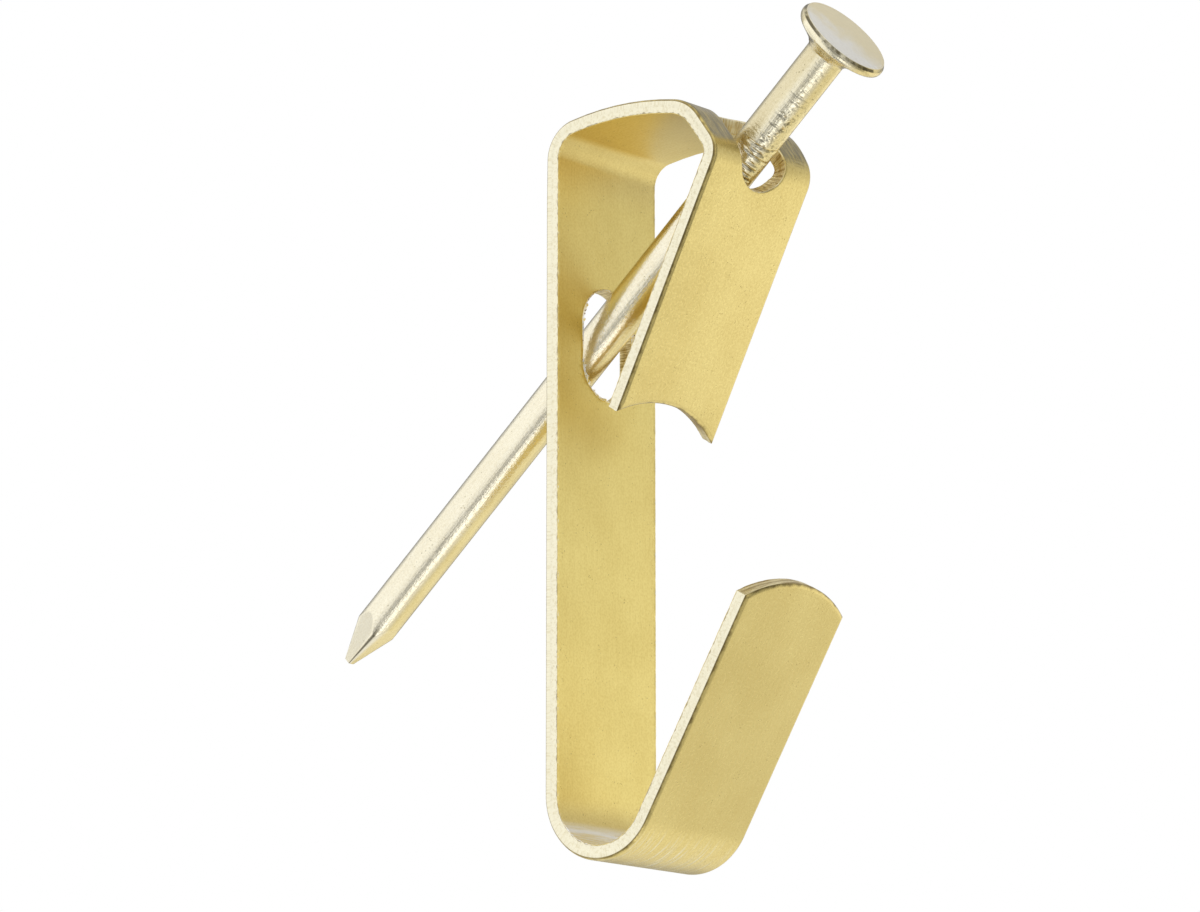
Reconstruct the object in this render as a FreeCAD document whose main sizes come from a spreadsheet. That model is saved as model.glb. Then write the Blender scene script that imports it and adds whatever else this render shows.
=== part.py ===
import FreeCAD, Part
import math
import os
import Sketcher

# Picture hook: a bent metal strip with a loose nail through it.
# Millimetres and degrees. +Z is up, the wall is the plane Y = 0 and the room is on its -Y side.
# The origin is the point where the nail's axis enters the wall.

DOC = FreeCAD.newDocument("picture_hook")
VECTOR = FreeCAD.Vector

SIZES = {
    # strip
    "strip_width": 7.5,
    "strip_thickness": 0.7,
    "end_arc_radius": 7.0,
    # the J that carries the picture wire; bend radii are those of the strip's inner face
    "nail_to_bottom": 25.05,
    "cradle_radius": 2.5,
    "lip_length": 12.4,
    "lip_lean": 30.5,
    # the leg on the wall and the folded top
    "back_length": 30.3,
    "top_bend_radius": 1.1,
    "top_span": 5.8,
    "top_arch_radius": 15.3,
    "crest_radius": 1.7,
    "slope_length": 1.25,
    "slope_angle": 54.8,
    "flap_bend_radius": 0.7,
    "flap_length": 12.4,
    "flap_lean": 26.6,
    # punched holes, one in the back leg and one over the crest, by the play that the nail has in them
    "nail_side_play": 0.8,
    "hole_upper_play": 0.7,
    "hole_lower_play": 1.3,
    "slot_end_play": 0.1,
    "slot_on_top": 0.4,
    "slot_on_flap": 0.69,
    "punch_overrun": 1.2,
    "punch_reach": 4.0,
    # nail
    "nail_radius": 1.0,
    "nail_length": 40.0,
    "nail_out": 19.5,
    "head_radius": 2.37,
    "head_crown": 0.1,
    "head_bevel": 0.12,
    "head_bevel_drop": 0.15,
    "head_rim": 0.3,
    "head_cone": 0.6,
    "point_length": 3.0,
    "point_blunt": 0.4,
    # gripper marks on the shank, counted from the top of the head
    "grip_start": 3.4,
    "grip_pitch": 0.6,
    "grip_depth": 0.07,
    "grip_spread": 110,
    "grip_turn": 240,
    "grip_count": 10,
}


def make_sheet():
    """Writes the sizes into the sheet that all expressions read."""
    sheet = DOC.addObject("Spreadsheet::Sheet", "sizes")
    for row, (name, value) in enumerate(SIZES.items(), start=1):
        sheet.set(f"A{row}", name)
        sheet.set(f"B{row}", str(value))
        sheet.setAlias(f"B{row}", name)
    DOC.recompute()
    return sheet


SHEET = make_sheet()


def size(name):
    """A size as the sheet holds it, for first placing what the constraints then hold."""
    return float(SHEET.get(name))


def bind(thing, expressions):
    """Ties properties of an object to expressions."""
    for path, text in expressions.items():
        thing.setExpression(path, text)


def dimension(sketch, name, value, text, kind, *where):
    """Adds a named dimension at its first value and ties it to an expression."""
    index = sketch.addConstraint(Sketcher.Constraint(kind, *where, value))
    sketch.renameConstraint(index, name)
    sketch.setExpression(f"Constraints.{name}", text)


def measure(sketch, name, piece, end):
    """Adds two reference dimensions, from the origin to one end of a piece of the sketch."""
    for kind, letter in (("DistanceX", "y"), ("DistanceY", "z")):
        index = sketch.addConstraint(Sketcher.Constraint(kind, -1, 1, piece, end, 1.0))
        sketch.setDriving(index, False)
        sketch.renameConstraint(index, f"{name}_{letter}")


class Pen:
    """Draws lines and left-hand bends one after another, each tangent to the one before."""

    def __init__(self, sketch, start, heading):
        self.sketch = sketch
        self.point = start
        self.heading = math.radians(heading)
        self.last = None

    def way(self, angle):
        return VECTOR(math.cos(angle), math.sin(angle), 0)

    def add(self, shape, end):
        index = self.sketch.addGeometry(shape, False)
        if self.last is not None:
            self.sketch.addConstraint(Sketcher.Constraint("Tangent", self.last, 2, index, 1))
        self.last = index
        self.point = end
        return index

    def line(self, length):
        end = self.point + self.way(self.heading) * length
        return self.add(Part.LineSegment(self.point, end), end)

    def bend(self, radius, turn):
        start = self.heading - math.pi / 2
        finish = start + math.radians(turn)
        centre = self.point - self.way(start) * radius
        circle = Part.Circle(centre, VECTOR(0, 0, 1), radius)
        self.heading += math.radians(turn)
        return self.add(Part.ArcOfCircle(circle, start, finish), centre + self.way(finish) * radius)


# The strip's inner face in side view, drawn from the lip's tip round to the flap's end.
# The sketch's own axes lie along Y and Z.

SIDE_VIEW = FreeCAD.Rotation(VECTOR(1, 1, 1), 120)
TOP_FALL = "asin(sizes.top_span / 2 / sizes.top_arch_radius)"
NAIL_FALL = "bend_line.Constraints.nail_fall"
HALF_WIDTH = "(sizes.nail_radius + sizes.nail_side_play)"


def draw_bend_line():
    """The chain of legs and bends that gives the strip its form."""
    sketch = DOC.addObject("Sketcher::SketchObject", "bend_line")
    sketch.Placement = FreeCAD.Placement(VECTOR(), SIDE_VIEW)
    lip_way = math.radians(size("lip_lean"))
    cradle = VECTOR(-size("strip_thickness") - size("cradle_radius"),
                    size("strip_thickness") + size("cradle_radius") - size("nail_to_bottom"), 0)
    lip_root = cradle - VECTOR(math.cos(lip_way), math.sin(lip_way), 0) * size("cradle_radius")
    lip_tip = lip_root + VECTOR(-math.sin(lip_way), math.cos(lip_way), 0) * size("lip_length")
    half_arch = math.degrees(math.asin(size("top_span") / 2 / size("top_arch_radius")))

    pen = Pen(sketch, lip_tip, size("lip_lean") - 90)
    lip = pen.line(size("lip_length"))
    cradle_bend = pen.bend(size("cradle_radius"), 180 - size("lip_lean"))
    back = pen.line(size("back_length"))
    top_bend = pen.bend(size("top_bend_radius"), 90 - half_arch)
    top = pen.bend(size("top_arch_radius"), 2 * half_arch)
    crest = pen.bend(size("crest_radius"), size("slope_angle") - half_arch)
    slope = pen.line(size("slope_length"))
    flap_bend = pen.bend(size("flap_bend_radius"), 90 - size("slope_angle") + size("flap_lean"))
    flap_start = pen.point
    flap = pen.line(size("flap_length"))

    sketch.addConstraint(Sketcher.Constraint("Vertical", back))
    sketch.addConstraint(Sketcher.Constraint("Horizontal", top, 1, top, 2))
    dimension(sketch, "wall_gap", size("strip_thickness"), "sizes.strip_thickness",
              "DistanceX", back, 1, -1, 1)
    dimension(sketch, "cradle_drop", -cradle.y,
              "sizes.nail_to_bottom - sizes.strip_thickness - sizes.cradle_radius",
              "DistanceY", cradle_bend, 3, -1, 1)
    dimension(sketch, "top_span", size("top_span"), "sizes.top_span", "DistanceX", top, 2, top, 1)
    for name, piece in (("lip_length", lip), ("back_length", back), ("slope_length", slope),
                        ("flap_length", flap)):
        dimension(sketch, name, size(name), f"sizes.{name}", "Distance", piece)
    for name, piece in (("cradle_radius", cradle_bend), ("top_bend_radius", top_bend),
                        ("top_arch_radius", top), ("crest_radius", crest),
                        ("flap_bend_radius", flap_bend)):
        dimension(sketch, name, size(name), f"sizes.{name}", "Radius", piece)
    for name, piece, base in (("lip_lean", lip, -90), ("slope_angle", slope, 180), ("flap_lean", flap, -90)):
        dimension(sketch, name, math.radians(size(name) + base), f"(sizes.{name} + {base}) * 1 deg",
                  "Angle", piece)

    # The nail's underside. It passes the nail's radius below the origin and lies on the slot's lower end,
    # and that gives the nail its slant.
    on_flap = size("slot_on_flap") - size("slot_end_play")
    seat = flap_start + pen.way(pen.heading) * on_flap
    nail_way = math.atan2(seat.y, seat.x) + math.pi - math.asin(size("nail_radius") / seat.Length)
    nail_low = sketch.addGeometry(Part.LineSegment(seat, seat + pen.way(nail_way) * seat.Length), True)
    sketch.addConstraint(Sketcher.Constraint("PointOnObject", nail_low, 1, flap))
    dimension(sketch, "nail_seat", on_flap, "sizes.slot_on_flap - sizes.slot_end_play",
              "Distance", flap, 1, nail_low, 1)
    dimension(sketch, "nail_radius", size("nail_radius"), "sizes.nail_radius", "Distance", -1, 1, nail_low)
    dimension(sketch, "nail_stretch", seat.Length, "sizes.nail_out", "Distance", nail_low)
    slant = sketch.addConstraint(Sketcher.Constraint("Angle", nail_low, 0.0))
    sketch.setDriving(slant, False)
    sketch.renameConstraint(slant, "nail_fall")

    # Two rays square to the top and to the flap, between which the slot over the crest has its full width.
    half_width = size("nail_radius") + size("nail_side_play")
    way_up = math.radians(90 + half_arch)
    way_out = math.radians(180 + size("flap_lean"))
    reach = size("punch_reach")
    middle = flap_start - pen.way(way_out) - pen.way(pen.heading)
    ray_top = sketch.addGeometry(Part.LineSegment(middle, middle + pen.way(way_up) * reach), True)
    ray_flap = sketch.addGeometry(Part.LineSegment(middle, middle + pen.way(way_out) * reach), True)
    sketch.addConstraint(Sketcher.Constraint("Coincident", ray_top, 1, ray_flap, 1))
    sketch.addConstraint(Sketcher.Constraint("Perpendicular", ray_flap, flap))
    dimension(sketch, "ray_angle", way_up, f"90 deg + {TOP_FALL}", "Angle", ray_top)
    for name, ray in (("ray_top_length", ray_top), ("ray_flap_length", ray_flap)):
        dimension(sketch, name, reach, "sizes.punch_reach", "Distance", ray)
    for leg, start, ray in (("top", crest, ray_top), ("flap", flap, ray_flap)):
        dimension(sketch, f"ray_{leg}_place", half_width - size(f"slot_on_{leg}"),
                  f"{HALF_WIDTH} - sizes.slot_on_{leg}", "Distance", start, 1, ray)

    measure(sketch, "tip", lip, 1)
    measure(sketch, "flap_end", flap, 2)
    measure(sketch, "slot", ray_top, 1)
    DOC.recompute()
    return sketch


BEND_LINE = draw_bend_line()


# The flat strip of that form: the line thickened outwards and drawn out to the strip's width.

STRIP_FACE = DOC.addObject("Part::Offset2D", "strip_face")
STRIP_FACE.Source = BEND_LINE
STRIP_FACE.Mode = "Skin"
STRIP_FACE.Fill = True
bind(STRIP_FACE, {"Value": "sizes.strip_thickness"})

STRIP = DOC.addObject("Part::Extrusion", "strip")
STRIP.Base = STRIP_FACE
STRIP.DirMode = "Normal"
STRIP.Symmetric = True
STRIP.Solid = True
bind(STRIP, {"LengthFwd": "sizes.strip_width"})


# The punches. Each works square to the leg it goes through, in a frame whose X runs across the strip,
# Y along the leg and Z out of its outer face.

OVERRUN = "sizes.punch_overrun"
THROUGH = "sizes.strip_thickness + 2 * sizes.punch_overrun"
BLOCK_SIDE = "-sizes.strip_width / 2 - sizes.punch_overrun"


def frame(point, turn):
    """Expression for a frame at a measured point of the bend line, turned about X."""
    return (f"placement(vector(0; bend_line.Constraints.{point}_y; bend_line.Constraints.{point}_z); "
            f"rotation(vector(1; 0; 0); {turn}))")


def shifted(base, x, y, z):
    """Expression for a place given in a frame's own axes."""
    return f"{base} * placement(vector({x}; {y}; {z}); rotation(vector(1; 0; 0); 0))"


def cylinder(name, place, radius, height, angle="360"):
    """A round punch, or a sector of one."""
    punch = DOC.addObject("Part::Cylinder", name)
    bind(punch, {"Radius": radius, "Height": height, "Angle": angle, "Placement": place})
    return punch


def shear(name, kind, corner, arc_centre):
    """Shears a strip end to an arc: a block across the strip, with a round cut from it or kept of it."""
    block = DOC.addObject("Part::Box", f"{name}_block")
    bind(block, {
        "Length": "sizes.strip_width + 2 * sizes.punch_overrun",
        "Width": "sizes.end_arc_radius + sizes.punch_overrun",
        "Height": THROUGH,
        "Placement": corner,
    })
    arc = cylinder(f"{name}_arc", arc_centre, "sizes.end_arc_radius", THROUGH)
    cutter = DOC.addObject(kind, f"{name}_shear")
    cutter.Base = block
    cutter.Tool = arc
    return cutter


def hollow_flap_end():
    """The hollow at the flap's end: an arc through its two corners."""
    flap = frame("flap_end", "90 + sizes.flap_lean")
    below = "sqrt(sizes.end_arc_radius ^ 2 - (sizes.strip_width / 2) ^ 2)"
    return shear("flap", "Part::Common", shifted(flap, BLOCK_SIDE, f"-{OVERRUN}", f"-{OVERRUN}"),
                 shifted(flap, "0", f"-{below}", f"-{OVERRUN}"))


def round_lip_tip():
    """The rounded tip of the lip: what lies outside an arc of the same radius comes off."""
    lip = frame("tip", "90 + sizes.lip_lean")
    return shear("tip", "Part::Cut", shifted(lip, BLOCK_SIDE, "-sizes.end_arc_radius", f"-{OVERRUN}"),
                 shifted(lip, "0", "-sizes.end_arc_radius", f"-{OVERRUN}"))


def punch_crest_slot():
    """The slot over the crest: a round end square to the top, one square to the flap, a sector between."""
    depth = "sizes.punch_reach + sizes.punch_overrun"
    top_place = shifted(frame("slot", TOP_FALL), "0", "0", f"-{OVERRUN}")
    top_end = cylinder("slot_top_end", top_place, HALF_WIDTH, depth, "180")
    flap_place = shifted(frame("slot", "sizes.flap_lean - 90"), "0", "0", "-sizes.punch_reach")
    flap_end = cylinder("slot_flap_end", flap_place, HALF_WIDTH, depth, "180")
    across = "placement(vector(0; 0; 0); rotation(vector(1; 1; 1); 120))"
    bend_place = shifted(frame("slot", f"{TOP_FALL} + 90 deg"), f"-{HALF_WIDTH}", "0", "0")
    bend = cylinder("slot_bend", f"{bend_place} * {across}", "sizes.punch_reach", f"2 * {HALF_WIDTH}",
                    f"(90 + sizes.flap_lean) * 1 deg - {TOP_FALL}")
    return [top_end, flap_end, bend]


def punch_nail_hole():
    """The oblong hole in the back leg, with play above and below the slanted nail."""
    sketch = DOC.addObject("Sketcher::SketchObject", "hole_outline")
    sketch.Placement = FreeCAD.Placement(VECTOR(), FreeCAD.Rotation(VECTOR(1, 0, 0), 90))
    slant = -BEND_LINE.getDatum("nail_fall").getValueAs("rad").Value
    radius = size("nail_radius") + size("nail_side_play")
    nail_half = size("nail_radius") / math.cos(slant)
    upper_end = size("strip_thickness") * math.tan(slant) + nail_half + size("hole_upper_play")
    lower_end = nail_half + size("hole_lower_play")
    straight = upper_end + lower_end - 2 * radius
    pen = Pen(sketch, VECTOR(radius, radius - lower_end, 0), 90)
    right = pen.line(straight)
    upper = pen.bend(radius, 180)
    pen.line(straight)
    lower = pen.bend(radius, 180)
    sketch.addConstraint(Sketcher.Constraint("Tangent", lower, 2, right, 1))
    sketch.addConstraint(Sketcher.Constraint("Vertical", right))
    sketch.addConstraint(Sketcher.Constraint("PointOnObject", upper, 3, -2))
    from_axis = f"sizes.nail_radius / cos({NAIL_FALL}) - {HALF_WIDTH}"
    dimension(sketch, "half_width", radius, HALF_WIDTH, "Radius", upper)
    dimension(sketch, "upper_centre", upper_end - radius,
              f"{from_axis} + sizes.hole_upper_play - sizes.strip_thickness * tan({NAIL_FALL})",
              "DistanceY", -1, 1, upper, 3)
    dimension(sketch, "lower_centre", lower_end - radius, f"{from_axis} + sizes.hole_lower_play",
              "DistanceY", lower, 3, -1, 1)
    hole = DOC.addObject("Part::Extrusion", "nail_hole")
    hole.Base = sketch
    hole.DirMode = "Normal"
    hole.Symmetric = True
    hole.Solid = True
    bind(hole, {"LengthFwd": f"2 * ({THROUGH})"})
    return hole


PUNCHES = DOC.addObject("Part::MultiFuse", "punches")
PUNCHES.Shapes = [hollow_flap_end(), round_lip_tip(), punch_nail_hole()] + punch_crest_slot()

HOOK = DOC.addObject("Part::Cut", "hook")
HOOK.Base = STRIP
HOOK.Tool = PUNCHES
HOOK.Label = "hook"
DOC.recompute()


# The nail. Its own Z axis runs up through the head, and its origin is where it enters the wall.

BELOW_ORIGIN = "sizes.nail_length - sizes.nail_out"

NAIL = DOC.addObject("PartDesign::Body", "nail")
NAIL.Label = "nail"
bind(NAIL, {"Placement": f"placement(vector(0; 0; 0); rotation(vector(1; 0; 0); 90 deg + {NAIL_FALL}))"})


def origin_feature(role):
    """A plane or an axis of the nail's own origin."""
    return [item for item in NAIL.Origin.OriginFeatures if item.Role == role][0]


def side_sketch(name):
    """A sketch in the nail's XZ plane: across is the radius, up is the axis."""
    sketch = NAIL.newObject("Sketcher::SketchObject", name)
    sketch.AttachmentSupport = [(origin_feature("XZ_Plane"), "")]
    sketch.MapMode = "FlatFace"
    return sketch


def closed_outline(sketch, shapes):
    """Adds pieces that meet end to start in a ring, and holds them together."""
    pieces = [sketch.addGeometry(shape, False) for shape in shapes]
    for index, piece in enumerate(pieces):
        sketch.addConstraint(Sketcher.Constraint("Coincident", pieces[index - 1], 2, piece, 1))
    return pieces


def polygon(points):
    """The sides of a closed polygon."""
    corners = [VECTOR(across, up, 0) for across, up in points]
    return [Part.LineSegment(corners[index - 1], corners[index]) for index in range(len(corners))]


def turn_blank():
    """Head and shank in one revolved outline; the head is domed, bevelled and tapers into the shank."""
    sketch = side_sketch("nail_outline")
    radius, head = size("nail_radius"), size("head_radius")
    top, bottom = size("nail_out"), size("nail_out") - size("nail_length")
    face, edge = head - size("head_bevel"), top - size("head_crown")
    shoulder = edge - size("head_bevel_drop")
    under = shoulder - size("head_rim")
    dome = (face ** 2 + size("head_crown") ** 2) / (2 * size("head_crown"))
    circle = Part.Circle(VECTOR(0, top - dome, 0), VECTOR(0, 0, 1), dome)
    axis, end, shank, taper, rim, bevel, crown = closed_outline(sketch, [
        Part.LineSegment(VECTOR(0, top, 0), VECTOR(0, bottom, 0)),
        Part.LineSegment(VECTOR(0, bottom, 0), VECTOR(radius, bottom, 0)),
        Part.LineSegment(VECTOR(radius, bottom, 0), VECTOR(radius, under - size("head_cone"), 0)),
        Part.LineSegment(VECTOR(radius, under - size("head_cone"), 0), VECTOR(head, under, 0)),
        Part.LineSegment(VECTOR(head, under, 0), VECTOR(head, shoulder, 0)),
        Part.LineSegment(VECTOR(head, shoulder, 0), VECTOR(face, edge, 0)),
        Part.ArcOfCircle(circle, math.acos(face / dome), math.pi / 2),
    ])
    for end_of_axis in (1, 2):
        sketch.addConstraint(Sketcher.Constraint("PointOnObject", axis, end_of_axis, -2))
    sketch.addConstraint(Sketcher.Constraint("PointOnObject", crown, 3, -2))
    sketch.addConstraint(Sketcher.Constraint("Horizontal", end))
    sketch.addConstraint(Sketcher.Constraint("Vertical", shank))
    sketch.addConstraint(Sketcher.Constraint("Vertical", rim))
    dimension(sketch, "top", top, "sizes.nail_out", "DistanceY", -1, 1, axis, 1)
    dimension(sketch, "bottom", -bottom, BELOW_ORIGIN, "DistanceY", axis, 2, -1, 1)
    dimension(sketch, "shank_radius", radius, "sizes.nail_radius", "Distance", end)
    dimension(sketch, "head_radius", head, "sizes.head_radius", "DistanceX", -1, 1, rim, 2)
    dimension(sketch, "head_rim", size("head_rim"), "sizes.head_rim", "Distance", rim)
    dimension(sketch, "head_bevel", size("head_bevel"), "sizes.head_bevel", "DistanceX", bevel, 2, bevel, 1)
    dimension(sketch, "head_bevel_drop", size("head_bevel_drop"), "sizes.head_bevel_drop", "DistanceY",
              bevel, 1, bevel, 2)
    dimension(sketch, "head_cone", size("head_cone"), "sizes.head_cone", "DistanceY", taper, 1, taper, 2)
    dimension(sketch, "head_crown", size("head_crown"), "sizes.head_crown", "DistanceY", crown, 1, crown, 2)
    blank = NAIL.newObject("PartDesign::Revolution", "nail_blank")
    blank.Profile = sketch
    blank.ReferenceAxis = (sketch, ["V_Axis"])
    blank.Angle = 360
    DOC.recompute()


def cut_point():
    """Four flat facets that meet in a blunt square end."""
    sketch = side_sketch("facet_outline")
    radius, blunt = size("nail_radius"), size("point_blunt") / 2
    bottom = size("nail_out") - size("nail_length")
    across = 2 * radius - blunt
    rise = size("point_length") * across / (radius - blunt)
    floor, side, facet = closed_outline(sketch, polygon([
        (2 * radius, bottom), (2 * radius, bottom + rise), (blunt, bottom)]))
    sketch.addConstraint(Sketcher.Constraint("Horizontal", floor))
    sketch.addConstraint(Sketcher.Constraint("Vertical", side))
    dimension(sketch, "blunt", blunt, "sizes.point_blunt / 2", "DistanceX", -1, 1, floor, 1)
    dimension(sketch, "bottom", -bottom, BELOW_ORIGIN, "DistanceY", floor, 1, -1, 1)
    dimension(sketch, "across", across, "2 * sizes.nail_radius - sizes.point_blunt / 2", "Distance", floor)
    dimension(sketch, "rise", rise,
              "sizes.point_length * (2 * sizes.nail_radius - sizes.point_blunt / 2)"
              " / (sizes.nail_radius - sizes.point_blunt / 2)", "Distance", side)
    cut = NAIL.newObject("PartDesign::Pocket", "facet")
    cut.Profile = sketch
    cut.Type = "ThroughAll"
    cut.Midplane = True
    DOC.recompute()
    facets = NAIL.newObject("PartDesign::PolarPattern", "facets")
    facets.Originals = [cut]
    facets.Axis = (origin_feature("Z_Axis"), [""])
    facets.Angle = 360
    facets.Occurrences = 4
    NAIL.Tip = facets
    DOC.recompute()


def press_grip_marks():
    """Rows of shallow notches that the heading dies leave on two sides of the shank."""
    sketch = side_sketch("grip_outline")
    sketch.AttachmentOffset = FreeCAD.Placement(VECTOR(), FreeCAD.Rotation(VECTOR(0, 1, 0), size("grip_turn")))
    bind(sketch, {"AttachmentOffset.Rotation.Angle": "sizes.grip_turn * 1 deg"})
    depth = size("grip_depth")
    outer, inner = size("nail_radius") + depth, size("nail_radius") - depth
    height = size("nail_out") - size("grip_start")
    lower, upper, mouth = closed_outline(sketch, polygon([
        (inner, height), (outer, height + 2 * depth), (outer, height - 2 * depth)]))
    sketch.addConstraint(Sketcher.Constraint("Vertical", mouth))
    sketch.addConstraint(Sketcher.Constraint("Equal", lower, upper))
    dimension(sketch, "root", inner, "sizes.nail_radius - sizes.grip_depth", "DistanceX", -1, 1, upper, 1)
    dimension(sketch, "height", height, "sizes.nail_out - sizes.grip_start", "DistanceY", -1, 1, upper, 1)
    dimension(sketch, "depth", 2 * depth, "2 * sizes.grip_depth", "DistanceX", upper, 1, upper, 2)
    dimension(sketch, "mouth", 4 * depth, "4 * sizes.grip_depth", "Distance", mouth)
    notch = NAIL.newObject("PartDesign::Groove", "grip_notch")
    notch.Profile = sketch
    notch.ReferenceAxis = (sketch, ["V_Axis"])
    notch.Midplane = True
    bind(notch, {"Angle": "sizes.grip_spread * 1 deg"})
    DOC.recompute()
    rows = NAIL.newObject("PartDesign::MultiTransform", "grip_marks")
    rows.Originals = [notch]
    along = NAIL.newObject("PartDesign::LinearPattern", "grip_row")
    along.Direction = (origin_feature("Z_Axis"), [""])
    along.Reversed = True
    bind(along, {"Length": "sizes.grip_pitch * (sizes.grip_count - 1)", "Occurrences": "sizes.grip_count"})
    around = NAIL.newObject("PartDesign::PolarPattern", "grip_sides")
    around.Axis = (origin_feature("Z_Axis"), [""])
    around.Angle = 360
    around.Occurrences = 2
    rows.Transformations = [along, around]
    NAIL.Tip = rows
    DOC.recompute()


turn_blank()
cut_point()
press_grip_marks()


# Both pieces are checked and written, each under its own label.

def write(piece):
    """Writes one finished piece."""
    solid = piece.Shape
    if solid.isNull() or not solid.isValid() or len(solid.Solids) != 1:
        raise RuntimeError(f"{piece.Label} is not one valid solid")
    solid.exportStep(f"parts/{piece.Label}.step")


DOC.recompute()
for item in DOC.Objects:
    if "Invalid" in item.State or "Error" in item.State:
        raise RuntimeError(f"{item.Name} did not build: {item.State}")
os.makedirs("parts", exist_ok=True)
for part in (HOOK, NAIL):
    write(part)
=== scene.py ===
import math
import random

import bmesh
import bpy
from mathutils import Matrix, Vector


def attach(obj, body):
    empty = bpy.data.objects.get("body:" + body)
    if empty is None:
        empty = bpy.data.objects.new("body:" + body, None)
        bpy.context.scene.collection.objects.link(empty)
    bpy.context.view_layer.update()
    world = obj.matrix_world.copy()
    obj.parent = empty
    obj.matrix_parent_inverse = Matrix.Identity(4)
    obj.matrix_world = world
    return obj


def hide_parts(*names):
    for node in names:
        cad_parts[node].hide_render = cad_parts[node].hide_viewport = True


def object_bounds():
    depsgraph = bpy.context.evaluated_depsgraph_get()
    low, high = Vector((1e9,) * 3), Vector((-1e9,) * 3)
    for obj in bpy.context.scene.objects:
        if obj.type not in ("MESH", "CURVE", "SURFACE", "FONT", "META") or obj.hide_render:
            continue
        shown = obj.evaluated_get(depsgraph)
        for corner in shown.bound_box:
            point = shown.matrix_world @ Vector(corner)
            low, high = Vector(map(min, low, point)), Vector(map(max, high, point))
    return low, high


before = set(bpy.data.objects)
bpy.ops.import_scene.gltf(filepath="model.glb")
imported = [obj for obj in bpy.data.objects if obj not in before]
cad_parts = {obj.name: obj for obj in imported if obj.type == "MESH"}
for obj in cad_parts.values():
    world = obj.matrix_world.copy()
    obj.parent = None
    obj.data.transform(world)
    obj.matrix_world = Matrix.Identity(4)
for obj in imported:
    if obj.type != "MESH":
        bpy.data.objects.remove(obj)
cad_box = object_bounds()

# Hook
# A strip of brass-plated sheet steel. It is punched with two oblong holes and sheared to a rounded tip and a
# hollowed end while flat, and then bent over, so the blank is made flat here and bent by the same chain.

MM = 0.001
STRIP_WIDTH = 7.5
STRIP_THICKNESS = 0.7
HALF_THICK = STRIP_THICKNESS / 2
END_ARC_RADIUS = 7.0
NAIL_TO_BOTTOM = 25.05
CRADLE_RADIUS = 2.5
LIP_LENGTH = 12.4
LIP_LEAN = 30.5
BACK_LENGTH = 30.3
TOP_BEND_RADIUS = 1.1
TOP_SPAN = 5.8
TOP_ARCH_RADIUS = 15.3
CREST_RADIUS = 1.7
SLOPE_LENGTH = 1.25
SLOPE_ANGLE = 54.8
FLAP_BEND_RADIUS = 0.7
FLAP_LENGTH = 12.4
FLAP_LEAN = 26.6
HOLE_RADIUS = 1.8
HOLE_LENGTH = 5.284
HOLE_RISE = 0.009
SLOT_ON_TOP = 0.4
SLOT_ON_FLAP = 0.69
EDGE_ROLL = 0.22
ROLL_ANGLE = 55
END_SKEW = 0.36
FAR_BULGE = 0.24
SIDE_STEP = 0.15
BEND_STEP = 3.0
LEG_STEP = 1.2
LEG_SUPPORT = 0.12
END_ARC_STEPS = 40
HOLE_ARC_STEPS = 48
MARK_MARGIN = 0.1

half_arch = math.degrees(math.asin(TOP_SPAN / 2 / TOP_ARCH_RADIUS))

# Legs as (length, 0) and bends as (radius of the middle of the sheet, angle), from the lip's tip on.
chain = [
    ("lip", LIP_LENGTH, 0),
    ("cradle", CRADLE_RADIUS + HALF_THICK, 180 - LIP_LEAN),
    ("back", BACK_LENGTH, 0),
    ("top_bend", TOP_BEND_RADIUS + HALF_THICK, 90 - half_arch),
    ("top", TOP_ARCH_RADIUS + HALF_THICK, 2 * half_arch),
    ("crest", CREST_RADIUS + HALF_THICK, SLOPE_ANGLE - half_arch),
    ("slope", SLOPE_LENGTH, 0),
    ("flap_bend", FLAP_BEND_RADIUS + HALF_THICK, 90 - SLOPE_ANGLE + FLAP_LEAN),
    ("flap", FLAP_LENGTH, 0),
]


def way(angle):
    return Vector((math.cos(angle), math.sin(angle)))


def lay_out(chain):
    """Follows the chain along the middle of the sheet and keeps where each leg or bend starts."""
    lean = math.radians(LIP_LEAN)
    middle = Vector((-STRIP_THICKNESS - CRADLE_RADIUS, STRIP_THICKNESS + CRADLE_RADIUS - NAIL_TO_BOTTOM))
    point = middle - way(lean) * (CRADLE_RADIUS + HALF_THICK) + way(lean + math.pi / 2) * LIP_LENGTH
    heading = lean - math.pi / 2
    along = 0.0
    legs = {}
    for name, size, turn in chain:
        turn = math.radians(turn)
        length = size * turn if turn else size
        legs[name] = (along, length, point.copy(), heading, size if turn else 0.0)
        if turn:
            centre = point + way(heading + math.pi / 2) * size
            heading += turn
            point = centre + way(heading - math.pi / 2) * size
        else:
            point = point + way(heading) * size
        along += length
    return legs, along


legs, strip_length = lay_out(chain)


def bent(along, across, depth):
    """Where a point of the flat blank lies once bent; depth is counted outwards from the sheet's middle."""
    for start, length, point, heading, radius in legs.values():
        if along <= start + length or start + length > strip_length - 1e-6:
            break
    run = along - start
    if radius:
        centre = point + way(heading + math.pi / 2) * radius
        spot = centre + way(heading + run / radius - math.pi / 2) * (radius + depth)
    else:
        spot = point + way(heading) * run + way(heading - math.pi / 2) * depth
    return Vector((across, spot.x, spot.y)) * MM


def cut_lines():
    """Places along the strip where the blank is divided: steps within bends, and lines across legs."""
    lines = []
    for start, length, point, heading, radius in legs.values():
        if radius:
            steps = max(1, round(math.degrees(length / radius) / BEND_STEP))
        else:
            steps = round(length / LEG_STEP)
        lines += [start + length * step / steps for step in range(1, steps + 1)]
        if not radius:
            lines += [start + LEG_SUPPORT, start + length - LEG_SUPPORT]
    return sorted(line for line in lines if line < strip_length - LEG_SUPPORT)


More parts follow.
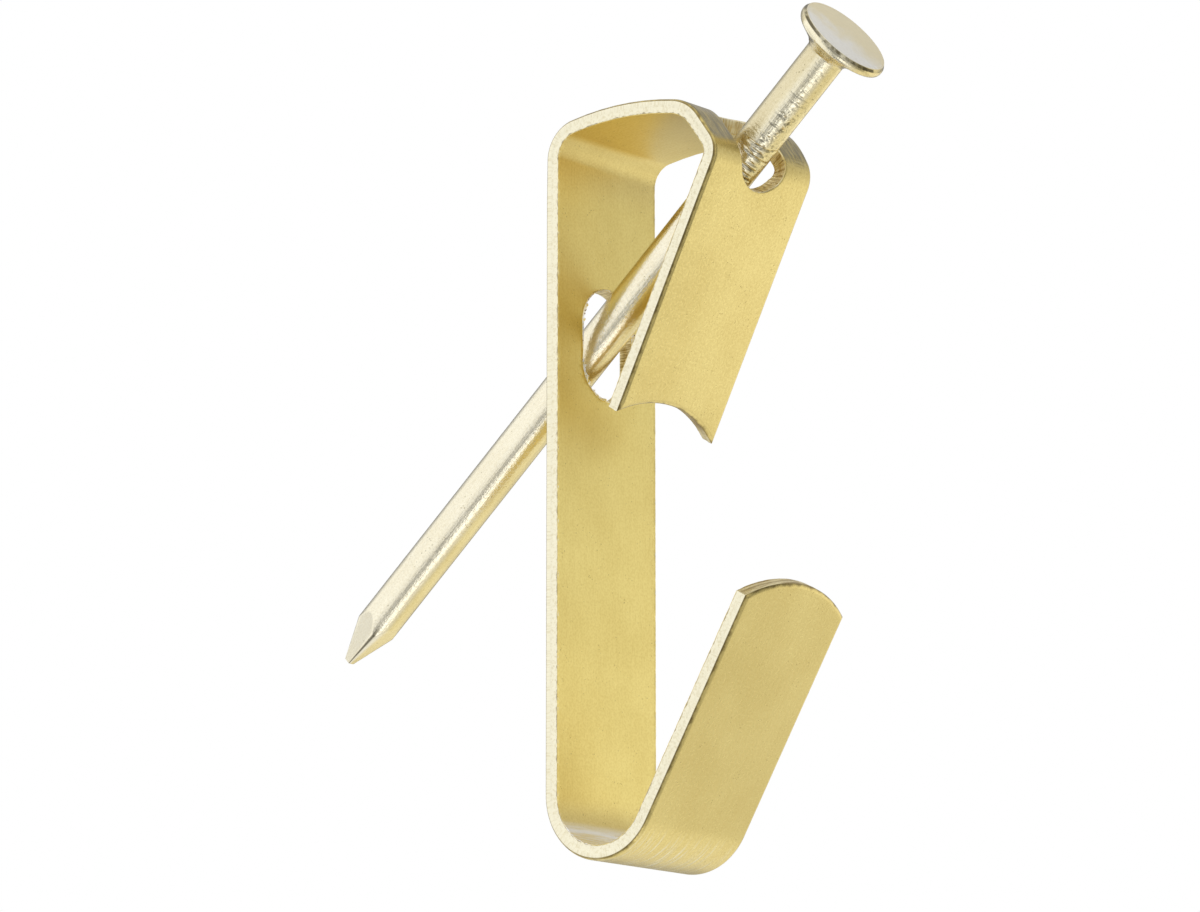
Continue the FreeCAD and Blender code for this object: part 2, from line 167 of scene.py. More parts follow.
def arc_points(centre, radius, first, last, steps):
    """Points on an arc of the blank, (along, across), angles counted from the strip's own direction."""
    angles = [math.radians(first + (last - first) * step / steps) for step in range(steps + 1)]
    return [(centre + radius * math.cos(a), radius * math.sin(a)) for a in angles]


def blank_outlines(inset):
    """The blank's outer outline and its two holes, each moved into the sheet by inset."""
    half_width = STRIP_WIDTH / 2 - inset
    tip_radius = END_ARC_RADIUS - inset
    end_radius = END_ARC_RADIUS + inset
    end_centre = strip_length + math.sqrt(END_ARC_RADIUS ** 2 - (STRIP_WIDTH / 2) ** 2)
    tip_angle = math.degrees(math.asin(half_width / tip_radius))
    end_angle = math.degrees(math.asin(half_width / end_radius))
    tip = arc_points(END_ARC_RADIUS, tip_radius, 180 - tip_angle, 180 + tip_angle, END_ARC_STEPS)
    hollow = arc_points(end_centre, end_radius, 180 + end_angle, 180 - end_angle, END_ARC_STEPS)
    end = [(along + END_SKEW * (across / STRIP_WIDTH + 0.5), across) for along, across in hollow]
    first, last = tip[-1][0], end[0][0]
    marks = [line for line in cut_lines() if first < line < last]
    for start, length, point, heading, radius in legs.values():
        if not radius:
            count = int(length / SIDE_STEP)
            marks += [start + length * step / count for step in range(1, count)]
    marks = sorted(mark for mark in set(marks) if first + MARK_MARGIN < mark < last - MARK_MARGIN)
    near = [(mark, -half_width) for mark in marks]
    far = [(mark, half_width) for mark in reversed(marks)]
    outer = tip + near + end + far

    radius = HOLE_RADIUS + inset
    hole_at = legs["back"][0] - (STRIP_THICKNESS + CRADLE_RADIUS - NAIL_TO_BOTTOM) + HOLE_RISE
    slot_first = legs["crest"][0] - SLOT_ON_TOP
    slot_last = legs["flap"][0] + SLOT_ON_FLAP
    holes = []
    for low, high in ((hole_at - HOLE_LENGTH / 2, hole_at + HOLE_LENGTH / 2), (slot_first, slot_last)):
        holes.append(arc_points(low + HOLE_RADIUS, radius, 90, 270, HOLE_ARC_STEPS)
                     + arc_points(high - HOLE_RADIUS, radius, -90, 90, HOLE_ARC_STEPS))
    return [outer] + holes


def flat_blank():
    """The blank's face as a flat mesh, divided across wherever it will bend."""
    blank = bmesh.new()
    for outline in blank_outlines(EDGE_ROLL):
        ring = [blank.verts.new((along, across, 0)) for along, across in outline]
        for first, second in zip(ring, ring[1:] + ring[:1]):
            blank.edges.new((first, second))
    bmesh.ops.triangle_fill(blank, use_beauty=True, use_dissolve=False, edges=blank.edges[:],
                            normal=(0, 0, 1))
    for line in cut_lines():
        bmesh.ops.bisect_plane(blank, geom=blank.verts[:] + blank.edges[:] + blank.faces[:], dist=1e-5,
                               plane_co=(line, 0, 0), plane_no=(1, 0, 0))
    bmesh.ops.recalc_face_normals(blank, faces=blank.faces[:])
    if blank.faces[0].normal.z < 0:
        bmesh.ops.reverse_faces(blank, faces=blank.faces[:])
    blank.verts.index_update()
    return blank


def rims(blank):
    """The blank's edge loops, each as (vertex, way out of the sheet) in order round the sheet."""
    follows = {}
    for edge in blank.edges:
        if len(edge.link_faces) == 1:
            corner = edge.link_loops[0]
            follows[corner.vert] = corner.link_loop_next.vert
    loops = []
    while follows:
        start = next(iter(follows))
        loop = [start]
        while follows[loop[-1]] is not start:
            loop.append(follows.pop(loop[-1]))
        follows.pop(loop[-1])
        rim = []
        for index, vert in enumerate(loop):
            before = (vert.co - loop[index - 1].co).normalized()
            after = (loop[(index + 1) % len(loop)].co - vert.co).normalized()
            out = Vector((before.y + after.y, -before.x - after.x, 0)).normalized()
            reach = max(0.5, out.dot(Vector((after.y, -after.x, 0))))
            rim.append((vert, out / reach))
        loops.append(rim)
    return loops


# The sheared wall from the outer face to the inner one, as (way out of the sheet, depth, ruggedness): a die
# roll where the outer face was drawn down, a burnished band, a torn band slightly further in, and a burr.
ROLL_STEPS = 8
TORN_RUGGED = 0.018
FINE_RUGGED = 0.004
roll_radius = EDGE_ROLL / math.sin(math.radians(ROLL_ANGLE))
roll_turns = [math.radians(ROLL_ANGLE * step / ROLL_STEPS) for step in range(ROLL_STEPS + 1)]
WALL_RINGS = [(roll_radius * math.sin(turn), HALF_THICK - roll_radius * (1 - math.cos(turn)), 0)
              for turn in roll_turns]
ROLL_FOOT = WALL_RINGS[-1][1]
WALL_RINGS += [
    (EDGE_ROLL, ROLL_FOOT - 0.04, FINE_RUGGED),
    (EDGE_ROLL, 0.03, TORN_RUGGED),
    (EDGE_ROLL - 0.012, 0.01, TORN_RUGGED),
    (EDGE_ROLL - 0.022, -0.15, 0),
    (EDGE_ROLL - 0.025, -HALF_THICK + 0.04, 0),
    (EDGE_ROLL - 0.035, -HALF_THICK - 0.006, FINE_RUGGED),
    (EDGE_ROLL - 0.060, -HALF_THICK - 0.010, FINE_RUGGED),
    (EDGE_ROLL - 0.110, -HALF_THICK, 0),
    (0.0, -HALF_THICK, 0),
]
HOLE_BURR = 10.0
LEG_ROLL = 0.45
LEG_ROLL_BEFORE = 4.0
LEG_ROLL_PAST = 2.0
HOLE_ROLL = 0.4
WANDER_RATES = (0.41, 0.97, 1.7, 2.6)
BULGE_MARGIN = 0.2
BULGE_FROM = 1.4
BULGE_EASE = 1.4


def roll_share(along):
    """The share of the die roll at a place: all of it on lip and flap, and LEG_ROLL of it on the back leg."""
    start, length = legs["back"][:2]
    into = min(along - start + LEG_ROLL_BEFORE, start + length + LEG_ROLL_PAST - along) / LEG_ROLL_BEFORE
    return 1 - (1 - LEG_ROLL) * min(1.0, max(0.0, into))


def bulge(along, across):
    """How far the far band beside the crest's slot stands out, as it is bent in a rounder line."""
    start, finish = legs["crest"][0] - BULGE_MARGIN, legs["flap"][0] + BULGE_MARGIN
    share = min(1.0, max(0.0, (along - start) / (finish - start)))
    outwards = min(1.0, max(0.0, (across - BULGE_FROM) / BULGE_EASE))
    return FAR_BULGE * math.sin(math.pi * share) ** 2 * outwards


def bend_hook():
    """The finished strip: both faces of the blank, bent, and the wall round every outline."""
    blank = flat_blank()
    dice = random.Random(7)
    hook = bmesh.new()
    place = hook.verts.layers.float_vector.new("strip")

    def put(along, across, depth, raised=0.0):
        vert = hook.verts.new(bent(along, across, depth + raised + bulge(along, across)))
        vert[place] = (along, across, depth)
        return vert

    outer = [put(vert.co.x, vert.co.y, HALF_THICK) for vert in blank.verts]
    inner = [put(vert.co.x, vert.co.y, -HALF_THICK) for vert in blank.verts]
    for face in blank.faces:
        numbers = [vert.index for vert in face.verts]
        hook.faces.new([outer[number] for number in numbers])
        hook.faces.new([inner[number] for number in reversed(numbers)])
    for rim in rims(blank):
        waves = [dice.uniform(0, math.tau) for rate in WANDER_RATES]
        around = [vert.co for vert, out in rim]
        hole = max(spot.y for spot in around) < STRIP_WIDTH / 3
        in_leg = hole and around[0].x < legs["top_bend"][0]
        rings = [[outer[vert.index] for vert, out in rim]]
        for reach, depth, rugged in WALL_RINGS[1:-1]:
            ring = []
            for step, (vert, out) in enumerate(rim):
                wander = sum(math.sin(step * rate + wave) for rate, wave in zip(WANDER_RATES, waves))
                lost = 1 - (HOLE_ROLL if hole else roll_share(vert.co.x))
                if depth >= ROLL_FOOT:
                    spot = vert.co + out * (reach + (EDGE_ROLL - reach) * lost)
                    raised = (HALF_THICK - depth) * lost
                else:
                    spot = vert.co + out * reach
                    raised = (HALF_THICK - ROLL_FOOT) * lost * max(0.0, depth / ROLL_FOOT)
                deep = depth + rugged * wander
                if in_leg and deep < -HALF_THICK:
                    deep = -HALF_THICK + (deep + HALF_THICK) * HOLE_BURR
                ring.append(put(spot.x, spot.y, deep, raised))
            rings.append(ring)
        rings.append([inner[vert.index] for vert, out in rim])
        for upper, lower in zip(rings, rings[1:]):
            for index in range(len(upper)):
                hook.faces.new((upper[index], lower[index], lower[index - 1], upper[index - 1]))
    blank.free()
    bmesh.ops.recalc_face_normals(hook, faces=hook.faces[:])
    return hook


def make_piece(name, body, sharp_angle):
    """Turns a bmesh into a smooth-shaded object at the origin."""
    mesh = bpy.data.meshes.new(name)
    body.to_mesh(mesh)
    body.free()
    mesh.shade_smooth()
    mesh.set_sharp_from_angle(angle=math.radians(sharp_angle))
    piece = bpy.data.objects.new(name, mesh)
    bpy.context.scene.collection.objects.link(piece)
    return piece


def node(tree, kind, inputs=None, **settings):
    """Adds a node; inputs maps a socket's name or number to a value or to the socket that feeds it."""
    made = tree.nodes.new(kind)
    for key, value in settings.items():
        setattr(made, key, value)
    for key, value in (inputs or {}).items():
        if isinstance(value, bpy.types.NodeSocket):
            tree.links.new(value, made.inputs[key])
        else:
            made.inputs[key].default_value = value
    return made


def new_group(name, inputs, outputs):
    """A node group with the given sockets; returns it with its input node."""
    group = bpy.data.node_groups.new(name, "ShaderNodeTree")
    kinds = {"vector": "NodeSocketVector", "colour": "NodeSocketColor", "value": "NodeSocketFloat"}
    for way_through, sockets in (("INPUT", inputs), ("OUTPUT", outputs)):
        for socket, kind in sockets.items():
            group.interface.new_socket(socket, in_out=way_through, socket_type=kinds[kind])
    return group, node(group, "NodeGroupInput")


def maths(tree, operation, first, second=0.0, third=0.0):
    """One sum; returns its result."""
    return node(tree, "ShaderNodeMath", {0: first, 1: second, 2: third}, operation=operation).outputs[0]


def ramp(tree, value, low, high, at_low=0.0, at_high=1.0):
    """Maps a value smoothly from one range to another; returns the result."""
    ends = {"Value": value, "From Min": low, "From Max": high, "To Min": at_low, "To Max": at_high}
    return node(tree, "ShaderNodeMapRange", ends, interpolation_type="SMOOTHSTEP").outputs[0]


def window(tree, value, rise, fall):
    """A mask that rises over one range of a value and falls over another; returns it."""
    return maths(tree, "MULTIPLY", ramp(tree, value, *rise), ramp(tree, value, *fall, 1.0, 0.0))


def noise(tree, place, scale, detail=3.0, stretch=None):
    """Smooth noise around 0.5; returns its value."""
    if stretch:
        place = node(tree, "ShaderNodeMapping", {"Vector": place, "Scale": stretch}).outputs[0]
    return node(tree, "ShaderNodeTexNoise", {"Vector": place, "Scale": scale, "Detail": detail}).outputs[0]


def blend(tree, share, first, second):
    """A colour between two colours; returns it."""
    return node(tree, "ShaderNodeMix", {0: share, 6: first, 7: second}, data_type="RGBA").outputs[2]


SPECK_SCALE = 6.0
SPECK_SIZE = 0.22
SPECK_STRENGTH = 0.55
SPECK_BROWN = (0.16, 0.11, 0.04, 1)
CLOUD_SHARE = 0.22
GRAIN_SHARE = 0.22
LINE_SHARE = 0.10


def plating_group():
    """Brass plating: cloudy tone, grain, fine dark specks, and drawn lines along the metal's first axis."""
    group, start = new_group("plating", {"Place": "vector", "Light": "colour", "Deep": "colour"},
                             {"Color": "colour", "Roughness": "value", "Height": "value"})
    place = start.outputs["Place"]
    cloud = noise(group, place, 0.3)
    grain = noise(group, place, 9.0, 5.0)
    lines = noise(group, place, 1.0, 3.0, (0.5, 11.0, 11.0))
    specks = node(group, "ShaderNodeTexVoronoi", {"Vector": place, "Scale": SPECK_SCALE})
    size = ramp(group, noise(group, place, 1.7, 2.0), 0.42, 0.72, 0.0, SPECK_SIZE)
    inside = maths(group, "SUBTRACT", size, specks.outputs["Distance"])
    speck = ramp(group, inside, -0.02, 0.05, 0.0, SPECK_STRENGTH)
    tone = maths(group, "MULTIPLY", ramp(group, cloud, 0.3, 0.7), CLOUD_SHARE)
    tone = maths(group, "MULTIPLY_ADD", ramp(group, grain, 0.35, 0.68), GRAIN_SHARE, tone)
    tone = maths(group, "MULTIPLY_ADD", ramp(group, lines, 0.3, 0.7), LINE_SHARE, tone)
    colour = blend(group, tone, start.outputs["Light"], start.outputs["Deep"])
    colour = blend(group, speck, colour, blend(group, 0.5, start.outputs["Deep"], SPECK_BROWN))
    rough = ramp(group, grain, 0.3, 0.7, 0.26, 0.35)
    height = maths(group, "MULTIPLY_ADD", lines, 0.4, maths(group, "MULTIPLY", grain, 0.5))
    height = maths(group, "SUBTRACT", height, speck)
    node(group, "NodeGroupOutput", {"Color": colour, "Roughness": rough, "Height": height})
    return group


plating = plating_group()


def plate(tree, place, light, deep):
    """The plating's node in a material."""
    sockets = {"Place": place, "Light": light, "Deep": deep}
    return node(tree, "ShaderNodeGroup", sockets, node_tree=plating).outputs


def metal(name):
    """A new material with a bare metal shader; returns material, node tree and shader."""
    material = bpy.data.materials.new(name)
    material.use_nodes = True
    shader = material.node_tree.nodes["Principled BSDF"]
    shader.inputs["Metallic"].default_value = 1.0
    return material, material.node_tree, shader


FACE_LIGHT, FACE_DEEP = (0.90, 0.735, 0.285, 1), (0.66, 0.49, 0.145, 1)
LEG_LIGHT, LEG_DEEP = (0.98, 0.815, 0.30, 1), (0.74, 0.56, 0.155, 1)
WALL_PALE, WALL_DEEP = (0.985, 0.935, 0.735, 1), (0.82, 0.75, 0.53, 1)
PUNCH_PALE, PUNCH_DEEP = (0.98, 0.87, 0.54, 1), (0.42, 0.29, 0.09, 1)
SLOT_PALE, SLOT_DEEP = (0.99, 0.96, 0.82, 1), (0.78, 0.66, 0.38, 1)
BURR_GLINT, BURR_SHADOW = (1.0, 0.98, 0.90, 1), (0.30, 0.20, 0.07, 1)
RIM_HIGHLIGHT, RIM_SHADE = (1.0, 0.93, 0.68, 1), (0.20, 0.14, 0.05, 1)
BURR_SHADE_BROWN = (0.22, 0.15, 0.05, 1)
CREST_REFLECTION_DARK = (0.235, 0.21, 0.14, 1)
SCRATCH_SHEEN = (0.99, 0.92, 0.64, 1)
U_REFLECTION_WHITE = (0.98, 0.97, 0.94, 1)
SCRATCH_TURN = 0.45
RELIEF_DEPTH = 0.05


def strip_material():
    """Plated faces, pale sheared sides, golden punched walls, and painted light: a dark reflection on the
    crest, shade and highlights along edges, holes and burrs, a sheen on scratches and a reflection inside the
    bend.
    """
    material, tree, shader = metal("plated_strip")
    place = node(tree, "ShaderNodeAttribute", attribute_name="strip").outputs["Vector"]
    along, across, depth = node(tree, "ShaderNodeSeparateXYZ", {0: place}).outputs
    off_middle = maths(tree, "ABSOLUTE", across)
    back, back_length = legs["back"][:2]
    back_end = back + back_length
    in_back = window(tree, along, (back - 1.5, back + 0.5), (back_end - 2.0, back_end))
    in_back = maths(tree, "MULTIPLY", in_back, ramp(tree, depth, -0.3, 0.0, 1.0, 0.0))
    face = plate(tree, place, blend(tree, in_back, FACE_LIGHT, LEG_LIGHT),
                 blend(tree, in_back, FACE_DEEP, LEG_DEEP))

    half_width = STRIP_WIDTH / 2
    sheared = maths(tree, "MULTIPLY", ramp(tree, depth, ROLL_FOOT - 0.02, ROLL_FOOT + 0.01, 1.0, 0.0),
                    ramp(tree, depth, -HALF_THICK + 0.005, -HALF_THICK + 0.03))
    side = maths(tree, "MULTIPLY", ramp(tree, off_middle, half_width - 0.1, half_width - 0.05),
                 ramp(tree, along, 1.0, 1.15))
    torn = ramp(tree, depth, 0.0, 0.08, 1.0, 0.0)
    scores = noise(tree, place, 1.0, 4.0, (11.0, 11.0, 1.2))
    crumbs = noise(tree, place, 9.0, 5.0)
    rough_wall = node(tree, "ShaderNodeMix", {0: torn, 2: scores, 3: crumbs}).outputs[0]
    pale = blend(tree, ramp(tree, rough_wall, 0.26, 0.60), WALL_DEEP, WALL_PALE)
    # Painted shade in an irregular line along the wall's inner edge, by the burr.
    uneven = maths(tree, "SUBTRACT", noise(tree, place, 3.0, 5.0), 0.5)
    ragged = maths(tree, "MULTIPLY_ADD", uneven, 0.24, depth)
    burr_shade = ramp(tree, ragged, -0.345, -0.285, 0.72, 0.0)
    pale = blend(tree, burr_shade, pale, BURR_SHADE_BROWN)
    ends = maths(tree, "MAXIMUM", ramp(tree, along, 1.15, 1.3, 1.0, 0.0),
                 ramp(tree, along, strip_length - 1.3, strip_length - 1.15))
    layers = noise(tree, place, 1.0, 3.0, (0.7, 0.7, 8.0))
    marks = node(tree, "ShaderNodeMix", {0: ends, 2: scores, 3: layers}).outputs[0]
    gold = blend(tree, ramp(tree, marks, 0.3, 0.66), PUNCH_DEEP, PUNCH_PALE)
    crest, flap_bend = legs["crest"][0], legs["flap_bend"][0]
    slot_end = ramp(tree, along, crest + 0.5, crest + 1.0, 0.75, 0.0)
    slot_end = maths(tree, "MULTIPLY", slot_end, ramp(tree, along, legs["top"][0], legs["top"][0] + 1.0))
    gold = blend(tree, slot_end, gold, blend(tree, ramp(tree, scores, 0.35, 0.6), SLOT_DEEP, SLOT_PALE))
    wall_colour = blend(tree, side, gold, pale)

    # A painted dark reflection, in streaks, on the outer face over the crest and down to the flap's bend.
    crest_dark_reflection = window(tree, along, (crest - 1.6, crest + 0.4), (flap_bend - 0.1, flap_bend + 0.55))
    crest_dark_reflection = maths(tree, "MULTIPLY", crest_dark_reflection, ramp(tree, depth, 0.3, HALF_THICK - 0.01))
    crest_streaks = noise(tree, place, 1.0, 4.0, (1.2, 9.0, 1.0))
    crest_dark_reflection = maths(tree, "MULTIPLY", crest_dark_reflection, ramp(tree, crest_streaks, 0.25, 0.7, 0.45, 0.92))
    face_colour = blend(tree, crest_dark_reflection, face["Color"], CREST_REFLECTION_DARK)

    # Painted shade along the die roll of the sheet's outer edges, and a painted highlight along the die roll
    # round the holes.
    rim_wobble = noise(tree, place, 2.6, 6.0)
    rolled = maths(tree, "MULTIPLY_ADD", maths(tree, "SUBTRACT", rim_wobble, 0.5), -0.24, depth)
    painted_rim_line = maths(tree, "MULTIPLY", ramp(tree, rolled, ROLL_FOOT, ROLL_FOOT + 0.10, 0.8, 0.0),
                     ramp(tree, depth, HALF_THICK - 0.02, HALF_THICK - 0.002, 1.0, 0.0))
    painted_rim_line = maths(tree, "MULTIPLY", painted_rim_line, ramp(tree, depth, 0.0, 0.1))
    clear_of_ends = window(tree, along, (3.0, 4.0), (strip_length - 4.0, strip_length - 3.0))
    punched = maths(tree, "MULTIPLY", ramp(tree, off_middle, 2.2, 2.5, 1.0, 0.0), clear_of_ends)
    painted_rim_colour = blend(tree, punched, RIM_SHADE, RIM_HIGHLIGHT)
    face_colour = blend(tree, painted_rim_line, face_colour, painted_rim_colour)
    # Painted glints and painted shadow specks on the raised burr.
    glint_noise = noise(tree, place, 7.0, 3.0)
    raised = ramp(tree, depth, -HALF_THICK - 0.022, -HALF_THICK - 0.008, 1.0, 0.0)
    for low, high, painted_spot in ((0.40, 0.48, BURR_GLINT), (0.62, 0.68, BURR_SHADOW)):
        lit = maths(tree, "MULTIPLY", raised, ramp(tree, glint_noise, low, high))
        face_colour = blend(tree, lit, face_colour, painted_spot)

    cradle, cradle_length = legs["cradle"][:2]
    cradle_end = cradle + cradle_length
    in_cradle = window(tree, along, (cradle, cradle + 1.5), (cradle_end - 1.5, cradle_end))
    slanted = node(tree, "ShaderNodeMapping", {"Vector": place, "Rotation": (0, 0, SCRATCH_TURN),
                                               "Scale": (0.5, 9.0, 1.0)})
    scratches = ramp(tree, noise(tree, slanted.outputs[0], 1.0, 3.0), 0.5, 0.66)
    # Diagonal scratches on the outer bend: real in the relief, and painted paler in the colour as a sheen.
    scratches_and_sheen = maths(tree, "MULTIPLY", maths(tree, "MULTIPLY", scratches, in_cradle),
                    ramp(tree, depth, 0.2, 0.3, 0.0, 0.7))
    face_colour = blend(tree, scratches_and_sheen, face_colour, SCRATCH_SHEEN)
    # A painted whitish reflection, in streaks, on the inner face inside the bottom bend.
    streaks = noise(tree, place, 1.0, 3.0, (7.0, 0.6, 1.0))
    u_reflection = window(tree, along, (cradle + 3.3, cradle + 3.9), (cradle + 5.3, cradle + 6.2))
    u_reflection = maths(tree, "MULTIPLY", u_reflection, ramp(tree, depth, -0.3, -0.2, 1.0, 0.0))
    u_reflection = maths(tree, "MULTIPLY", u_reflection, ramp(tree, streaks, 0.3, 0.6, 0.45, 1.0))
    face_colour = blend(tree, u_reflection, face_colour, U_REFLECTION_WHITE)

    tree.links.new(blend(tree, sheared, face_colour, wall_colour), shader.inputs["Base Color"])
    wall_rough = ramp(tree, rough_wall, 0.3, 0.7, 0.38, 0.52)
    dull = maths(tree, "ADD", face["Roughness"], ramp(tree, depth, -0.3, 0.0, 0.10, 0.0))
    rough = node(tree, "ShaderNodeMix", {0: sheared, 2: dull, 3: wall_rough})
    tree.links.new(rough.outputs[0], shader.inputs["Roughness"])
    face_height = maths(tree, "MULTIPLY_ADD", scratches_and_sheen, 0.4, maths(tree, "MULTIPLY", face["Height"], 0.25))
    wall_height = maths(tree, "MULTIPLY", rough_wall, 0.65)
    height = node(tree, "ShaderNodeMix", {0: sheared, 2: face_height, 3: wall_height}).outputs[0]
    relief = node(tree, "ShaderNodeBump", {"Strength": 0.55, "Distance": RELIEF_DEPTH * MM, "Height": height})
    tree.links.new(relief.outputs[0], shader.inputs["Normal"])
    return material


hook = make_piece("hook_strip", bend_hook(), 40)
hook.data.materials.append(strip_material())
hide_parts("hook")
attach(hook, "root")

# Nail
# A plated steel wire nail: headed cold in gripping dies, which leave rows of notches on the shank, and cut
# to a four-sided point. Its head sits slightly askew.

NAIL_SLANT = 41.404
NAIL_RADIUS = 1.0
NAIL_LENGTH = 40.0
NAIL_OUT = 19.5
HEAD_RADIUS = 2.37
HEAD_CROWN = 0.1
HEAD_BEVEL = 0.12
HEAD_BEVEL_DROP = 0.15
HEAD_RIM = 0.3
HEAD_CONE = 0.6
POINT_LENGTH = 3.0
POINT_BLUNT = 0.4
RIDGE_POWER = 6
GRIP_START = 3.4
GRIP_PITCH = 0.6
GRIP_DEPTH = 0.07
GRIP_HALF_SPREAD = 55
GRIP_TURN = 240
GRIP_COUNT = 10
HEAD_TILT = 5.5
HEAD_TILT_TURN = 236
HEAD_OFF_CENTRE = (0.52, 0.18)
NAIL_SIDES = 144
NECK_FILLET = 0.2
FILLET_STEPS = 8
CONE_RISES = (0.28, 0.36, 0.44, 0.50)
POINT_REACH = 1.25
POINT_STEPS = 75
SHANK_STEPS = 60
GRIP_STEPS = 230
CROWN_STEPS = 16
CROWN_MARGIN = 0.08


def nail_profile():
    """Half the nail's outline, (radius, height), from the middle of the point's end to the head's middle."""
    low = NAIL_OUT - NAIL_LENGTH
    edge = NAIL_OUT - HEAD_CROWN
    shoulder = edge - HEAD_BEVEL_DROP
    under = shoulder - HEAD_RIM
    neck = under - HEAD_CONE
    face = HEAD_RADIUS - HEAD_BEVEL
    slope = (HEAD_RADIUS - NAIL_RADIUS) / HEAD_CONE
    grip_low = NAIL_OUT - GRIP_START - GRIP_PITCH * GRIP_COUNT
    grip_high = neck - NECK_FILLET
    marks = [low + POINT_LENGTH * POINT_REACH * step / POINT_STEPS for step in range(POINT_STEPS + 1)]
    plain = marks[-1]
    marks += [plain + (grip_low - plain) * step / SHANK_STEPS for step in range(1, SHANK_STEPS + 1)]
    marks += [grip_low + (grip_high - grip_low) * step / GRIP_STEPS for step in range(1, GRIP_STEPS + 1)]
    outline = [(0.0, low)] + [(NAIL_RADIUS, mark) for mark in marks]
    for step in range(1, FILLET_STEPS + 1):
        rise = -NECK_FILLET + 2 * NECK_FILLET * step / FILLET_STEPS
        outline.append((NAIL_RADIUS + slope * (rise + NECK_FILLET) ** 2 / (4 * NECK_FILLET), neck + rise))
    for rise in CONE_RISES:
        outline.append((NAIL_RADIUS + slope * rise, neck + rise))
    outline += [(HEAD_RADIUS - 0.13, under - 0.050), (HEAD_RADIUS - 0.07, under - 0.010),
                (HEAD_RADIUS - 0.03, under + 0.045), (HEAD_RADIUS - 0.008, under + 0.11),
                (HEAD_RADIUS, under + 0.18), (HEAD_RADIUS - 0.003, shoulder - 0.06),
                (HEAD_RADIUS - 0.015, shoulder - 0.01), (HEAD_RADIUS - 0.04, shoulder + 0.03),
                (face + 0.035, edge - 0.07), (face + 0.02, edge - 0.03), (face + 0.005, edge - 0.008),
                (face - 0.02, edge), (face - 0.06, edge - 0.006)]
    for step in range(1, CROWN_STEPS + 1):
        share = 1 - step / CROWN_STEPS
        outline.append(((face - CROWN_MARGIN) * share, edge + HEAD_CROWN * (1 - share ** 2)))
    return outline


def spread(angle, middle):
    """How many degrees two directions round the shank lie apart."""
    return abs((angle - middle + 180) % 360 - 180)


WORN_ROWS = 10
FULL_STRENGTH, WORN_STRENGTH = (0.8, 1.15), (0.1, 0.4)
FINE_SHARE = 0.55
LEVEL_JITTER = 0.05
TURN_JITTER = 9
SLANT_JITTER = 0.002
NOTCH_HALF = 0.09
NOTCH_FADE = 14
NOTCH_REACH = 0.3
RIDGE_AT = 0.14
RIDGE_HALF = 0.05
RIDGE_HEIGHT = 0.006

# Patches of small knocks, as (count, turn from the notches, scatter, levels, sizes, depths).
DENT_PATCHES = (
    (45, 6, 14, (12.6, 15.2), (0.05, 0.15), (0.01, 0.04)),
    (18, 12, 16, (15.2, 17.6), (0.05, 0.11), (0.01, 0.025)),
)

dice = random.Random(11)
grip_rows = []
for side in (GRIP_TURN, GRIP_TURN + 180):
    for row in range(2 * GRIP_COUNT):
        between = row % 2
        strength = dice.uniform(*(WORN_STRENGTH if row < WORN_ROWS else FULL_STRENGTH))
        level = NAIL_OUT - GRIP_START - GRIP_PITCH * row / 2 + dice.uniform(-LEVEL_JITTER, LEVEL_JITTER)
        half_spread = GRIP_HALF_SPREAD * dice.uniform(0.4, 0.8 if between else 1.05)
        grip_rows.append((side + dice.uniform(-TURN_JITTER, TURN_JITTER), level, half_spread,
                          strength * (FINE_SHARE if between else 1.0),
                          dice.uniform(-SLANT_JITTER, SLANT_JITTER)))
dents = []
for count, turn, scatter, levels, sizes, depths in DENT_PATCHES:
    for knock in range(count):
        dents.append((dice.gauss(GRIP_TURN + turn, scatter), dice.uniform(*levels), dice.uniform(*sizes),
                      dice.uniform(*depths)))


def pressed(height, angle):
    """How deep the dies' notches and small knocks go at a place on the shank."""
    depth = 0.0
    for side, level, half_spread, strength, slant in grip_rows:
        miss = abs(height - level - slant * ((angle - side + 180) % 360 - 180))
        if miss < NOTCH_REACH:
            fade = min(1.0, max(0.0, (half_spread - spread(angle, side)) / NOTCH_FADE))
            notch = max(0.0, 1 - miss / NOTCH_HALF) * GRIP_DEPTH
            ridge = max(0.0, 1 - abs(miss - RIDGE_AT) / RIDGE_HALF) * RIDGE_HEIGHT
            depth = max(depth, fade * strength * notch) if notch else depth - fade * strength * ridge
    for side, level, radius, deep in dents:
        if abs(height - level) < radius:
            reach = math.hypot(math.radians(spread(angle, side)) * NAIL_RADIUS, height - level) / radius
            depth += deep * max(0.0, 1 - reach ** 2)
    return depth


